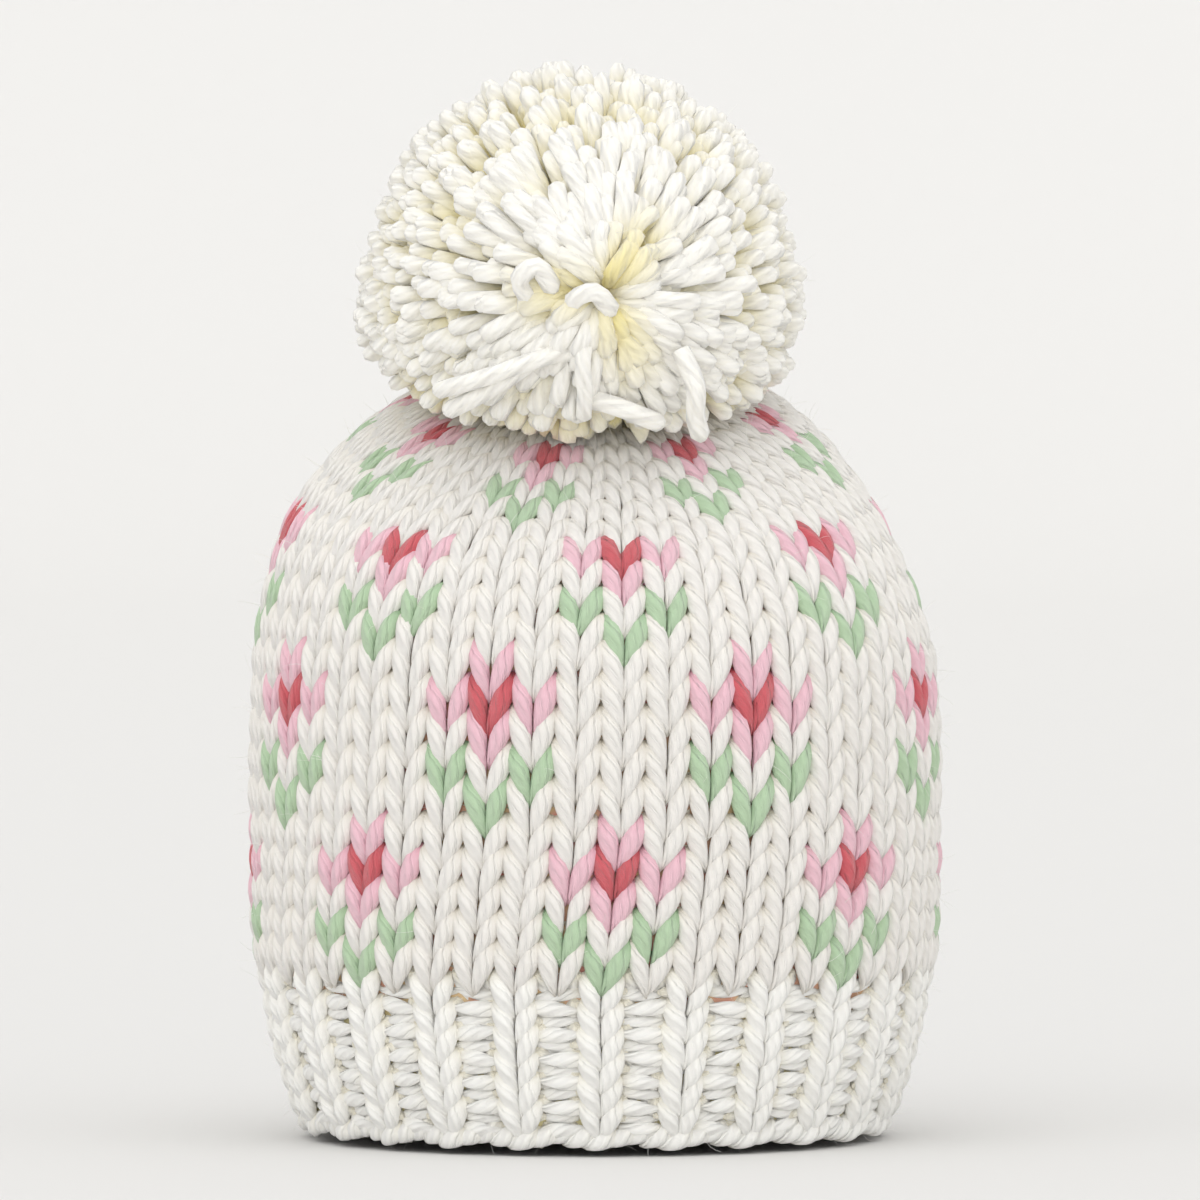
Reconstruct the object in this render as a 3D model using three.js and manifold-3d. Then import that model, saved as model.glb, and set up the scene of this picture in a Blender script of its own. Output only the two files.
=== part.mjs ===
// Infant's hand-knitted beanie: ribbed brim, round body with a drawn-in crown, and a yarn pompom.
// Millimetres, +Z up. The hat stands on its rim and the origin is the middle of the rim's underside.
// The front of the hat faces -Y.
import * as THREE from 'three';
import { mergeVertices } from 'three/addons/utils/BufferGeometryUtils.js';
import Module from 'manifold-3d';

// Knitted body
const hatRadius = 70.5; // widest outer radius
const rimRadius = 59.5; // outer radius at the cast-on edge
const brimHeight = 30; // ribbed band, rim to first plain row
const crownHeight = 155; // rim to the highest ring of the drawn-in crown
const knitWall = 6; // thickness of the two-yarn wall
const crownStart = 0.36; // where the crown begins, a share of the body line's sections
const crownDimple = 3; // how far the drawn-in middle sinks below the highest ring
const crownNod = 16; // degrees that the drawn-in crown and the pompom tip to the front

// Ribs and gathers
const ribCount = 24; // knit ribs of the one-by-one band
const ribDepth = 2.4; // ridge to valley
const castOnRound = 1.4; // round of the cast-on edge
const gatherCount = 16; // folds where the crown is drawn together
const gatherDepth = 2.2; // ridge to valley at the deepest place

// Pompom
const pompomWidth = 92;
const pompomLift = 17; // the pompom's middle above the crown's highest ring
const pompomRise = 49.5; // middle to the top ends
const pompomDrop = 26; // middle to the ends that lie on the crown
const pompomShift = -3; // the pompom sits a little to the wearer's right of the middle
const pompomFullness = 3; // roundness power of the pressed lower half, 2 is an ellipse
const lockCount = 80;
const lockWidth = 14.5;
const lockDepth = 9; // how far the locks stand out of the head
const lockUneven = 1.8; // longest lock to shortest

// Tie that carries the pompom
const tieRadius = 2.4;
const tieReach = 14; // length of tie inside the pompom
const knotRadius = 6;
const knotHeight = 5;

// Gap between neighbouring pieces
const clearance = 0.3;

// Faces of the round pieces
const brimFacets = ribCount * 4;
const bodyFacets = gatherCount * 4;
const lockFacets = 5;
const tieFacets = 12;
const headDetail = 2;
const brimRings = 3;
const bodyRings = 4;
const crownRings = 10;
const crownInnerRings = 6;
const mergeDistance = 1e-4;
const turn = Math.PI * 2;
const nodAngle = THREE.MathUtils.degToRad(crownNod);
const middleHeight = crownHeight - crownDimple; // top of the hole that the tie passes through

// The brim's outer line: up is a share of brimHeight,
// spread a share of the way from the rim's radius to the body's foot.
const brimSections = [
  { up: 0, spread: 0 },
  { up: 0.2, spread: 0.29 },
  { up: 0.45, spread: 0.58 },
  { up: 0.72, spread: 0.83 },
  { up: 1, spread: 1 },
];

// The body's outer line: up is a share of the height from brim to crown, out a share of hatRadius,
// lean the sideways shift of the section as a share of hatRadius, nod its share of crownNod
// and gather its share of gatherDepth.
const bodySections = [
  { up: 0, out: 0.966, lean: 0, nod: 0, gather: 0 },
  { up: 0.06, out: 0.99, lean: 0, nod: 0, gather: 0 },
  { up: 0.17, out: 1, lean: 0, nod: 0, gather: 0 },
  { up: 0.4, out: 1, lean: 0, nod: 0, gather: 0 },
  { up: 0.55, out: 0.984, lean: -0.004, nod: 0, gather: 0 },
  { up: 0.66, out: 0.94, lean: -0.018, nod: 0.12, gather: 0 },
  { up: 0.77, out: 0.862, lean: -0.03, nod: 0.34, gather: 0.05 },
  { up: 0.868, out: 0.735, lean: -0.026, nod: 0.68, gather: 0.25 },
  { up: 0.94, out: 0.575, lean: -0.012, nod: 0.92, gather: 0.6 },
  { up: 0.985, out: 0.37, lean: 0, nod: 1, gather: 1 },
  { up: 1, out: 0.2, lean: 0, nod: 1, gather: 0.7 },
];

// A lock's outline: along is a share of its length, wide a share of lockWidth.
const lockSections = [
  { along: 0, wide: 0.7 },
  { along: 0.72, wide: 1 },
  { along: 0.95, wide: 0.72 },
];
const lockRoot = 0.6; // where locks start, a share of the way from the middle to the head's surface
const knotWaist = 0.7; // end faces of the knot, a share of knotRadius

// One yarn colour for each piece
const creamYarn = { color: 0xf6f2e6, roughness: 0.95, metalness: 0 };
const pompomYarn = { color: 0xfaf6e4, roughness: 0.95, metalness: 0 };
const tieYarn = { color: 0xefe8d2, roughness: 0.95, metalness: 0 };

const wasm = await Module();
wasm.setup();

// A geometry as one closed body: shared corners, no collapsed faces.
function closedBody(geometry) {
  geometry.deleteAttribute('normal');
  geometry.deleteAttribute('uv');
  const merged = mergeVertices(geometry, mergeDistance);
  const corners = merged.getIndex().array;
  const kept = [];
  for (let i = 0; i < corners.length; i += 3) {
    const [a, b, c] = [corners[i], corners[i + 1], corners[i + 2]];
    if (a !== b && b !== c && c !== a) kept.push(a, b, c);
  }
  merged.setIndex(kept);
  return merged;
}

function toSolid(geometry) {
  const body = closedBody(geometry);
  return new wasm.Manifold(new wasm.Mesh({
    numProp: 3,
    vertProperties: new Float32Array(body.getAttribute('position').array),
    triVerts: new Uint32Array(body.getIndex().array),
  }));
}

function toGeometry(solid) {
  const mesh = solid.getMesh();
  const geometry = new THREE.BufferGeometry();
  geometry.setAttribute('position', new THREE.BufferAttribute(mesh.vertProperties, 3));
  geometry.setIndex(new THREE.BufferAttribute(mesh.triVerts, 1));
  return geometry;
}

function yarnMesh(name, geometry, yarn) {
  geometry.computeVertexNormals();
  const mesh = new THREE.Mesh(geometry, new THREE.MeshStandardMaterial(yarn));
  mesh.name = name;
  return mesh;
}

// A closed line turned about Z. Each point holds its ring's height z, sideways shift lean and forward
// tip nod, its radius r and rise within the tipped ring, its outward direction (nr, nz) and the relief
// that waves round the hat along that direction.
function turned(points, facets, waves) {
  const line = points.map((p) => new THREE.Vector2(p.r, p.z + p.rise));
  const geometry = new THREE.LatheGeometry(line, facets);
  geometry.rotateX(Math.PI / 2);
  const position = geometry.getAttribute('position');
  for (let step = 0; step <= facets; step++) {
    const angle = (step % facets) * turn / facets;
    points.forEach((p, j) => {
      const push = -p.relief * (1 - Math.cos(waves * angle)) / 2;
      const r = p.r + p.nr * push;
      const back = -r * Math.cos(angle);
      const rise = p.rise + p.nz * push;
      position.setXYZ(
        step * points.length + j,
        p.lean + r * Math.sin(angle),
        back * Math.cos(p.nod) - rise * Math.sin(p.nod),
        p.z + back * Math.sin(p.nod) + rise * Math.cos(p.nod),
      );
    });
  }
  return geometry;
}

// The body's outer line, foot to crown, and the shifts and folds that go with it.
const bodyRise = crownHeight - brimHeight;
const bodyCurve = new THREE.CatmullRomCurve3(
  bodySections.map((row) => new THREE.Vector3(row.out * hatRadius, brimHeight + row.up * bodyRise, 0)),
);
const shareCurve = new THREE.CatmullRomCurve3(
  bodySections.map((row) => new THREE.Vector3(row.lean * hatRadius, row.gather, row.nod)),
);
const seamHeight = bodyCurve.getPoint(crownStart).y;

// A stretch of the body's line in so many rings, moved outwards by offset.
function knitLine(offset, start, end, rings) {
  const points = [];
  for (let i = 0; i <= rings; i++) {
    const t = start + (end - start) * i / rings;
    const at = bodyCurve.getPoint(t);
    const along = bodyCurve.getTangent(t);
    const share = shareCurve.getPoint(t);
    points.push({
      r: at.x + along.y * offset,
      rise: -along.x * offset,
      z: at.y,
      lean: share.x,
      nod: Math.max(share.z, 0) * nodAngle,
      nr: along.y,
      nz: -along.x,
      relief: Math.max(share.y, 0) * gatherDepth,
    });
  }
  return points;
}

// A point of a line where the wall ends in a level face at height z.
function level(point, z) {
  return { ...point, z, rise: 0, nod: 0, relief: 0 };
}

// Ribbed band: the wall waves in and out as a whole, on a flat rounded rim.
function brimRib() {
  const footRadius = bodySections[0].out * hatRadius;
  const curve = new THREE.CatmullRomCurve3(
    brimSections.map((row) => new THREE.Vector3(
      rimRadius + row.spread * (footRadius - rimRadius),
      row.up * brimHeight,
      0,
    )),
  );
  const upright = { rise: 0, lean: 0, nod: 0, nr: 1, nz: 0, relief: ribDepth };
  const outer = [];
  for (let i = 1; i <= brimRings; i++) {
    const at = curve.getPoint(i / brimRings);
    outer.push({ ...upright, r: at.x, z: at.y });
  }
  const inner = outer.map((p) => ({ ...p, r: p.r - knitWall })).reverse();
  const rim = { ...upright, r: rimRadius, z: 0 };
  const profile = [
    { ...rim, r: rimRadius - knitWall + castOnRound },
    { ...rim, r: rimRadius - castOnRound },
    { ...rim, z: castOnRound },
    ...outer,
    ...inner,
    { ...rim, r: rimRadius - knitWall, z: castOnRound },
    { ...rim, r: rimRadius - knitWall + castOnRound },
  ];
  return closedBody(turned(profile, brimFacets, ribCount));
}

// Straight part of the knitted wall, from the brim to the foot of the crown.
function bodyKnit() {
  const outer = knitLine(0, 0, crownStart, bodyRings);
  const inner = knitLine(-knitWall, 0, crownStart, bodyRings);
  const foot = brimHeight + clearance;
  const profile = [
    level(outer[0], foot),
    ...outer.slice(1, -1),
    level(outer.at(-1), seamHeight),
    level(inner.at(-1), seamHeight),
    ...inner.slice(1, -1).reverse(),
    level(inner[0], foot),
    level(outer[0], foot),
  ];
  return closedBody(turned(profile, bodyFacets, gatherCount));
}

// Domed part of the wall, drawn together round the hole that the tie passes through.
function crownKnit() {
  const outer = knitLine(0, crownStart, 1, crownRings);
  const inner = knitLine(-knitWall, crownStart, 1, crownInnerRings);
  const foot = seamHeight + clearance;
  const middle = { z: middleHeight, lean: 0, nod: nodAngle, nr: 0, nz: 1, relief: 0 };
  const holeTop = { ...middle, r: tieRadius + clearance, rise: 0 };
  const holeFoot = { ...holeTop, rise: -knitWall };
  const profile = [
    level(outer[0], foot),
    ...outer.slice(1),
    holeTop,
    holeFoot,
    ...inner.slice(1).reverse(),
    level(inner[0], foot),
    level(outer[0], foot),
  ];
  return closedBody(turned(profile, bodyFacets, gatherCount));
}

// The crown's outside as a full solid with the small gap added, which the pompom sits on.
function crownForm() {
  const outer = knitLine(clearance, crownStart, 1, crownRings);
  const foot = level(outer[0], seamHeight);
  const middle = { z: middleHeight, rise: clearance, lean: 0, nod: nodAngle, nr: 0, nz: 1, relief: 0 };
  const profile = [
    { ...foot, r: 0 },
    foot,
    ...outer.slice(1),
    { ...middle, r: tieRadius + clearance },
    { ...middle, r: 0 },
  ];
  return toSolid(turned(profile, bodyFacets, gatherCount));
}

// One lock of yarn ends: a blunt finger along +Z from its root.
function lockOfYarn(reach) {
  const line = [
    new THREE.Vector2(0, 0),
    ...lockSections.map((row) => new THREE.Vector2(row.wide * lockWidth / 2, row.along * reach)),
    new THREE.Vector2(0, reach),
  ];
  const geometry = new THREE.LatheGeometry(line, lockFacets);
  geometry.rotateX(Math.PI / 2);
  return geometry;
}

// The point of the pompom's round form in direction aim, drawn in by inset:
// a dome above its middle and a fuller, pressed half below.
function pompomForm(aim, inset) {
  const level = Math.hypot(aim.x, aim.y);
  const low = aim.z < 0;
  const fullness = low ? (level ** pompomFullness + Math.abs(aim.z) ** pompomFullness) : 1;
  const bulge = fullness ** (-1 / pompomFullness);
  const wide = pompomWidth / 2 - inset;
  const tall = (low ? pompomDrop : pompomRise) - inset;
  return new THREE.Vector3(aim.x * wide, aim.y * wide, aim.z * tall).multiplyScalar(bulge);
}

function pompomHead() {
  const geometry = new THREE.IcosahedronGeometry(1, headDetail);
  const position = geometry.getAttribute('position');
  const aim = new THREE.Vector3();
  for (let i = 0; i < position.count; i++) {
    aim.fromBufferAttribute(position, i).normalize();
    const at = pompomForm(aim, lockDepth);
    position.setXYZ(i, at.x, at.y, at.z);
  }
  return geometry;
}

// Head with locks all round, swept away from a front and a back parting, seated on the crown.
function pompom() {
  const goldenAngle = turn * (3 - Math.sqrt(5)) / 2;
  const up = new THREE.Vector3(0, 0, 1);
  let solid = toSolid(pompomHead());
  for (let k = 0; k < lockCount; k++) {
    const front = 1 - (2 * k + 1) / lockCount;
    const round = Math.sqrt(1 - front * front);
    const sweep = new THREE.Vector3(Math.cos(k * goldenAngle), 0, Math.sin(k * goldenAngle));
    const aim = sweep.clone().multiplyScalar(round).setY(-front);
    const uneven = lockUneven * (Math.sin(k * k) - 1) / 2;
    const tip = pompomForm(aim, 0).addScaledVector(aim, uneven);
    const root = pompomForm(aim, lockDepth).multiplyScalar(lockRoot);
    root.addScaledVector(sweep, -lockDepth / 2);
    const along = tip.clone().sub(root);
    const geometry = lockOfYarn(along.length());
    geometry.applyQuaternion(new THREE.Quaternion().setFromUnitVectors(up, along.normalize()));
    geometry.translate(root.x, root.y, root.z);
    solid = solid.add(toSolid(geometry));
  }
  const socketRadius = tieRadius + clearance;
  const socketDepth = tieReach + clearance;
  const socket = new THREE.CylinderGeometry(socketRadius, socketRadius, 2 * socketDepth, tieFacets);
  socket.rotateX(Math.PI / 2);
  const seated = solid.translate([pompomShift, 0, crownDimple + pompomLift]).subtract(toSolid(socket));
  const tipped = seated.rotate([crownNod, 0, 0]).translate([0, 0, middleHeight]);
  return toGeometry(tipped.subtract(crownForm()));
}

// Yarn tie: a knot under the crown and a cord up through it into the pompom.
function pompomTie() {
  const knotTop = -knitWall - clearance;
  const line = [
    new THREE.Vector2(0, knotTop - knotHeight),
    new THREE.Vector2(knotRadius * knotWaist, knotTop - knotHeight),
    new THREE.Vector2(knotRadius, knotTop - knotHeight / 2),
    new THREE.Vector2(knotRadius * knotWaist, knotTop),
    new THREE.Vector2(tieRadius, knotTop),
    new THREE.Vector2(tieRadius, tieReach),
    new THREE.Vector2(0, tieReach),
  ];
  const geometry = new THREE.LatheGeometry(line, tieFacets);
  geometry.rotateX(Math.PI / 2 + nodAngle).translate(0, 0, middleHeight);
  return closedBody(geometry);
}

const beanie = new THREE.Group();
beanie.add(
  yarnMesh('brim_rib', brimRib(), creamYarn),
  yarnMesh('body_knit', bodyKnit(), creamYarn),
  yarnMesh('crown_knit', crownKnit(), creamYarn),
  yarnMesh('pompom', pompom(), pompomYarn),
  yarnMesh('pompom_tie', pompomTie(), tieYarn),
);

export default beanie;
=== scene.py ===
import math
import random

import bpy
import numpy as np
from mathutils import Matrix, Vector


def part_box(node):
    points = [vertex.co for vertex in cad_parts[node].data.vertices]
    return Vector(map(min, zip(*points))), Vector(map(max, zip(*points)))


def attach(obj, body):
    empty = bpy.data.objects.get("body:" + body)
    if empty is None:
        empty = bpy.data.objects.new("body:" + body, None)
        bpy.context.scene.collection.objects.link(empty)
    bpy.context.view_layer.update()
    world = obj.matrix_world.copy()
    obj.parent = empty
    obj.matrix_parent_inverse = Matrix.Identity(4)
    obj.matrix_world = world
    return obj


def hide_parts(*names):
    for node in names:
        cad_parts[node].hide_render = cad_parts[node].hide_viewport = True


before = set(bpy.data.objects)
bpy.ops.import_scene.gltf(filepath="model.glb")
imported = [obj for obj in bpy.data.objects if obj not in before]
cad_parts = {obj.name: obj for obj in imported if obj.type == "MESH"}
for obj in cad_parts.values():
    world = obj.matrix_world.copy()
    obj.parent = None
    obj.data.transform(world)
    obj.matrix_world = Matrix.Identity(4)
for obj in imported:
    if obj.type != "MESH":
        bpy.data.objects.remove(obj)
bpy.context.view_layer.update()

scene = bpy.context.scene
mm = 0.001

# Sizes of the hat that the yarn pieces follow; its width and the brim's height come from the frame
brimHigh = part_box("brim_rib")[1]
bodyLow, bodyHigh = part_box("body_knit")
hat = {
    "radius": (bodyHigh.x - bodyLow.x) / 2,
    "brimHeight": brimHigh.z,
    "crownHeight": 155 * mm,  # rim to the highest ring of the drawn-in crown
    "crownDimple": 3 * mm,  # the middle sinks below that ring
    "crownNod": math.radians(16),  # the drawn-in crown tips to the front
    "rimRadius": 59.5 * mm,
    "stitches": 48,
    "brimSteps": 60,  # steps of the line up the brim and up the rest
    "bodySteps": 240,
    # up: share of the brim's height, spread: share of the way from the rim's radius to the body's foot
    "brimLine": [(0, 0), (0.2, 0.29), (0.45, 0.58), (0.72, 0.83), (1, 1)],
    # up: share of the height above the brim, out: share of the radius,
    # lean: sideways shift as a share of the radius, nod: share of crownNod
    "bodyLine": [
        (0, 0.966, 0, 0),
        (0.06, 0.99, 0, 0),
        (0.17, 1, 0, 0),
        (0.4, 1, 0, 0),
        (0.55, 0.984, -0.004, 0),
        (0.66, 0.94, -0.018, 0.12),
        (0.77, 0.862, -0.03, 0.34),
        (0.868, 0.735, -0.026, 0.68),
        (0.94, 0.575, -0.012, 0.92),
        (0.985, 0.37, 0, 1),
        (1, 0.2, 0, 1),
    ],
}


def smoothRows(rows, count):  # a smooth run of rows through a short table
    table = np.array(rows, float)
    table = np.vstack([2 * table[0] - table[1], table, 2 * table[-1] - table[-2]])
    place = np.linspace(0, len(rows) - 1, count)
    k = np.minimum(place.astype(int), len(rows) - 2)
    t = (place - k)[:, None]
    a, b, c, d = table[k], table[k + 1], table[k + 2], table[k + 3]
    return b + t * (c - a) / 2 + t**2 * (a - 2.5 * b + 2 * c - d / 2) + t**3 * (d - a + 3 * (b - c)) / 2


def makeHatLine():  # the wall's outer line from rim to crown, with the distance walked up its front
    brim = smoothRows(hat["brimLine"], hat["brimSteps"])
    body = smoothRows(hat["bodyLine"], hat["bodySteps"])[1:]
    footRadius = hat["bodyLine"][0][1] * hat["radius"]
    brimRadius = hat["rimRadius"] + brim[:, 1] * (footRadius - hat["rimRadius"])
    r = np.concatenate([brimRadius, body[:, 1] * hat["radius"]])
    rise = hat["crownHeight"] - hat["brimHeight"]
    z = np.concatenate([brim[:, 0] * hat["brimHeight"], hat["brimHeight"] + body[:, 0] * rise])
    lean, nod = np.concatenate([np.zeros((len(brim), 2)), body[:, 2:]]).T
    line = {"r": r, "z": z, "lean": lean * hat["radius"], "nod": np.maximum(nod, 0) * hat["crownNod"]}
    frontY = -r * np.cos(line["nod"])
    frontZ = z - r * np.sin(line["nod"])
    line["walk"] = np.concatenate([[0], np.cumsum(np.hypot(np.diff(frontY), np.diff(frontZ)))])
    line["frontZ"] = frontZ
    return line


hatLine = makeHatLine()
wholeWalk = hatLine["walk"][-1]


def onHat(walk, angle):  # places on the outer line; angle 0 is the front, to the right is positive
    r, z, lean, nod = (np.interp(walk, hatLine["walk"], hatLine[key]) for key in ("r", "z", "lean", "nod"))
    back = -r * np.cos(angle)
    return np.stack([lean + r * np.sin(angle), back * np.cos(nod), z + back * np.sin(nod)], -1)


def unit(vectors):  # the same directions, each of length 1
    return vectors / np.linalg.norm(vectors, axis=-1, keepdims=True)


def hatFrame(walk, angle):  # place, outward, up and round directions
    walk, angle = np.broadcast_arrays(np.asarray(walk, float), np.asarray(angle, float))
    step, turn = 1 * mm, 0.01
    up = unit(onHat(np.minimum(walk + step, wholeWalk), angle) - onHat(walk - step, angle))
    around = unit(onHat(walk, angle + turn) - onHat(walk, angle - turn))
    outward = unit(np.cross(around, up))
    return onHat(walk, angle), outward, np.cross(outward, around), around


def linear(hexColour):  # an sRGB hex value as linear light
    parts = [int(hexColour[i:i + 2], 16) / 255 for i in (1, 3, 5)]
    return (*[p / 12.92 if p <= 0.04045 else ((p + 0.055) / 1.055) ** 2.4 for p in parts], 1)


def addThing(name, data):  # a new object in the scene
    thing = bpy.data.objects.new(name, data)
    scene.collection.objects.link(thing)
    return thing


def fill(tree, node, inputs):  # gives a node its values and links; a node stands for its first output
    for key, value in inputs.items():
        if isinstance(value, bpy.types.Node):
            value = value.outputs[0]
        if isinstance(value, bpy.types.NodeSocket):
            tree.links.new(value, node.inputs[key])
        else:
            node.inputs[key].default_value = value
    return node


def addNode(tree, kind, settings=None, inputs=None):
    node = tree.nodes.new(kind)
    for key, value in (settings or {}).items():
        setattr(node, key, value)
    return fill(tree, node, inputs or {})


def calc(tree, operation, *values, clamp=False):  # a sum that a node works out
    return addNode(tree, "ShaderNodeMath", {"operation": operation, "use_clamp": clamp},
                   dict(enumerate(values)))


def blend(tree, share, first, second):  # from one colour to another
    return addNode(tree, "ShaderNodeMix", {"data_type": "RGBA"}, {
        "Factor": share, 6: first, 7: second}).outputs[2]


def newMaterial(name):
    material = bpy.data.materials.new(name)
    material.use_nodes = True
    return material, material.node_tree, material.node_tree.nodes["Principled BSDF"]


# Camera: the photo's level view through a long lens
view = {
    "lens": 360,
    "sensor": 36,
    "nearest": 0.01,
    "frameWidth": 243.5 * mm,  # what the frame spans at the hat
    "aim": (1 * mm, 0, 109 * mm),
    "elevation": math.radians(1.5),
}


def addCamera():
    data = bpy.data.cameras.new("photo_view")
    data.lens = view["lens"]
    data.sensor_width = view["sensor"]
    data.clip_start = view["nearest"]
    camera = addThing("photo_view", data)
    distance = view["frameWidth"] * data.lens / data.sensor_width
    x, y, z = view["aim"]
    back, up = distance * math.cos(view["elevation"]), distance * math.sin(view["elevation"])
    camera.location = (x, y - back, z + up)
    camera.rotation_euler = (math.pi / 2 - view["elevation"], 0, 0)
    scene.camera = camera


addCamera()
print("camera placed")

# Acrylic hand-knitting yarn: crimped fibre, spun softly and loosely plied. That gives the eye a matt,
# plump strand with faint slanted plies and a pale bloom at its edges from loose fibres; a warmer painted
# shade is laid where it dips. Real fibres of 0.02 mm are too fine to show, so they are drawn as streaks of
# about 1 mm.
yarnLook = {
    "legLength": 13 * mm,  # one stitch leg, along which the plies are counted
    "pliesRound": 3,
    "plyTurns": 0.6,  # turns of the plies in one stitch leg
    "plyDepth": 0.7 * mm,
    "plyStrength": 0.5,
    "fibreDepth": 0.9 * mm,
    "fibreStrength": 0.7,
    "fibreStretch": (3.2, 2.4, 1),  # the streaks run along the strand
    "fibreNoise": {"Scale": 1.6, "Detail": 5, "Roughness": 0.65},
    "mottle": 0.5,  # how far the fibres darken and lighten the strand
    "mottleFloor": -0.22,
    "roughness": 0.85,
    "specular": 0.25,
    "sheenRoughness": 0.5,
}


def acrylicYarn(name, outerHex, shadeAndMottleHex, fuzzy=1.0, sheen=0.35):
    # the first colour shows on the bellies of the strands; the second is painted shade where they dip between
    # their neighbours and deep in the pompom, and also the dark side of the random fibre mottle; fuzzy is how
    # rough the fibres lie
    material, tree, shader = newMaterial(name)
    place = addNode(tree, "ShaderNodeUVMap", {"uv_map": "UVMap"})
    around, along, _ = addNode(tree, "ShaderNodeSeparateXYZ", inputs={0: place}).outputs
    plyCount = calc(tree, "MULTIPLY", around, float(yarnLook["pliesRound"]))
    plyTurn = calc(tree, "MULTIPLY_ADD", along, yarnLook["plyTurns"] * yarnLook["pliesRound"], plyCount)
    plyWave = calc(tree, "SINE", calc(tree, "MULTIPLY", plyTurn, 2 * math.pi))
    plyBump = addNode(tree, "ShaderNodeBump", inputs={
        "Strength": yarnLook["plyStrength"], "Distance": yarnLook["plyDepth"], "Height": plyWave})
    stretch = addNode(tree, "ShaderNodeCombineXYZ", inputs={0: plyTurn, 1: along})
    fibres = addNode(tree, "ShaderNodeMapping", inputs={"Vector": stretch, "Scale": yarnLook["fibreStretch"]})
    grain = addNode(tree, "ShaderNodeTexNoise", inputs={
        "Vector": fibres, **yarnLook["fibreNoise"]}).outputs["Fac"]
    fibreBump = addNode(tree, "ShaderNodeBump", inputs={
        "Strength": yarnLook["fibreStrength"] * fuzzy, "Distance": yarnLook["fibreDepth"],
        "Height": grain, "Normal": plyBump})
    # the stored share of painted shade: at the tucked-in ends of the stitch legs, deep in the pompom and
    # along the tie
    depth = addNode(tree, "ShaderNodeAttribute", {"attribute_name": "depth"}).outputs["Fac"]
    mottle = calc(tree, "MULTIPLY_ADD", grain, yarnLook["mottle"] * fuzzy, yarnLook["mottleFloor"] * fuzzy,
                  clamp=True)
    shade = calc(tree, "ADD", depth, mottle, clamp=True)
    fill(tree, shader, {
        "Base Color": blend(tree, shade, linear(outerHex), linear(shadeAndMottleHex)), "Normal": fibreBump,
        "Roughness": yarnLook["roughness"], "Specular IOR Level": yarnLook["specular"],
        "Sheen Weight": sheen, "Sheen Roughness": yarnLook["sheenRoughness"]})
    return material


# Undyed yarn looks cream; the honey in its dips is painted shade
creamYarn = acrylicYarn("cream_acrylic_yarn", "#F8F5F0", "#EFE5D0")
# The same yarn in the open, stretched ribs: a lighter copy of the cream, painted light for the extra light
# that gets between the strands there, with a paler painted shade in its dips
litRibYarn = acrylicYarn("rib_acrylic_yarn", "#FFFEFA", "#FCF6E2", 0.8, 0.6)
# Dyed yarns, each with a darker painted shade in its dips: their fibres take the dye unevenly, so they look
# more mottled than the cream
sageYarn = acrylicYarn("sage_acrylic_yarn", "#C4DDBA", "#98BB8C", 1.2)
roseYarn = acrylicYarn("rose_acrylic_yarn", "#FACFDA", "#EFA6B6", 1.2)
coralYarn = acrylicYarn("coral_acrylic_yarn", "#E56D75", "#BD444E", 1.6)
# Cut yarn that blooms open at its ends: white there, and a painted yellow shade deep in the ball and by its
# parting, where light passes through several strands
pompomYarn = acrylicYarn("pompom_acrylic_yarn", "#FFFDF7", "#F3E27E", 0.5, 0.8)
# The tightly tied middle of the pompom, which only shows between the strands, coloured pale yellow as painted
# shade
coreYarn = acrylicYarn("tied_acrylic_yarn", "#FBF4D0", "#F3E8A8")
# Single fibres: almost white, because they are thinner than they are coloured
fibreYarn = acrylicYarn("loose_acrylic_fibre", "#FEFDFA", "#FAF3E4")
print("yarns mixed")


def newTree(name, inputs):  # a Geometry Nodes tree with named inputs
    tree = bpy.data.node_groups.new(name, "GeometryNodeTree")
    tree.interface.new_socket("Geometry", in_out="INPUT", socket_type="NodeSocketGeometry")
    for label, kind, value in inputs:
        socket = tree.interface.new_socket(label, in_out="INPUT", socket_type="NodeSocket" + kind)
        if value is not None:
            socket.default_value = value
    tree.interface.new_socket("Geometry", in_out="OUTPUT", socket_type="NodeSocketGeometry")
    return tree, addNode(tree, "NodeGroupInput").outputs, addNode(tree, "NodeGroupOutput")


def drawProfile(node, points):  # lays the points of a curve node, from 0 at one end to 1 at the other
    line = node.mapping.curves[0].points
    for index, (x, y) in enumerate(points):
        if index < 2:
            line[index].location = (x, y)
        else:
            line.new(x, y)
    node.mapping.update()


def named(tree, name, kind="FLOAT_VECTOR"):  # an attribute that the mesh brings along
    return addNode(tree, "GeometryNodeInputNamedAttribute", {"data_type": kind}, {"Name": name})


def keep(tree, geometry, **fields):  # holds on to a curve's fields until it is swept
    node = addNode(tree, "GeometryNodeCaptureAttribute", {"domain": "POINT"}, {"Geometry": geometry})
    for label in fields:
        node.capture_items.new("FLOAT", label)
    return fill(tree, node, fields).outputs


def closedAround(tree, around):  # on the face that closes a yarn, the corners at 0 count as 1, its end
    middle = addNode(tree, "GeometryNodeFieldOnDomain", {"data_type": "FLOAT", "domain": "FACE"}, {
        0: around})
    nearStart, wellOn = 0.05, 0.3  # only the closing face has a corner at the start and its middle well on
    closing = calc(tree, "GREATER_THAN", middle, wellOn)
    return calc(tree, "MULTIPLY_ADD", calc(tree, "LESS_THAN", around, nearStart), closing, around)


def sweepYarn(tree, line, sides, radius, factor):  # a round yarn along a line, and the share round it
    circle = addNode(tree, "GeometryNodeCurvePrimitiveCircle", inputs={"Resolution": sides, "Radius": 1.0})
    ring = keep(tree, circle, Around=factor)
    swept = addNode(tree, "GeometryNodeCurveToMesh", inputs={
        "Curve": line, "Profile Curve": ring["Geometry"], "Scale": radius, "Fill Caps": True})
    return swept, closedAround(tree, ring["Around"])


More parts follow.
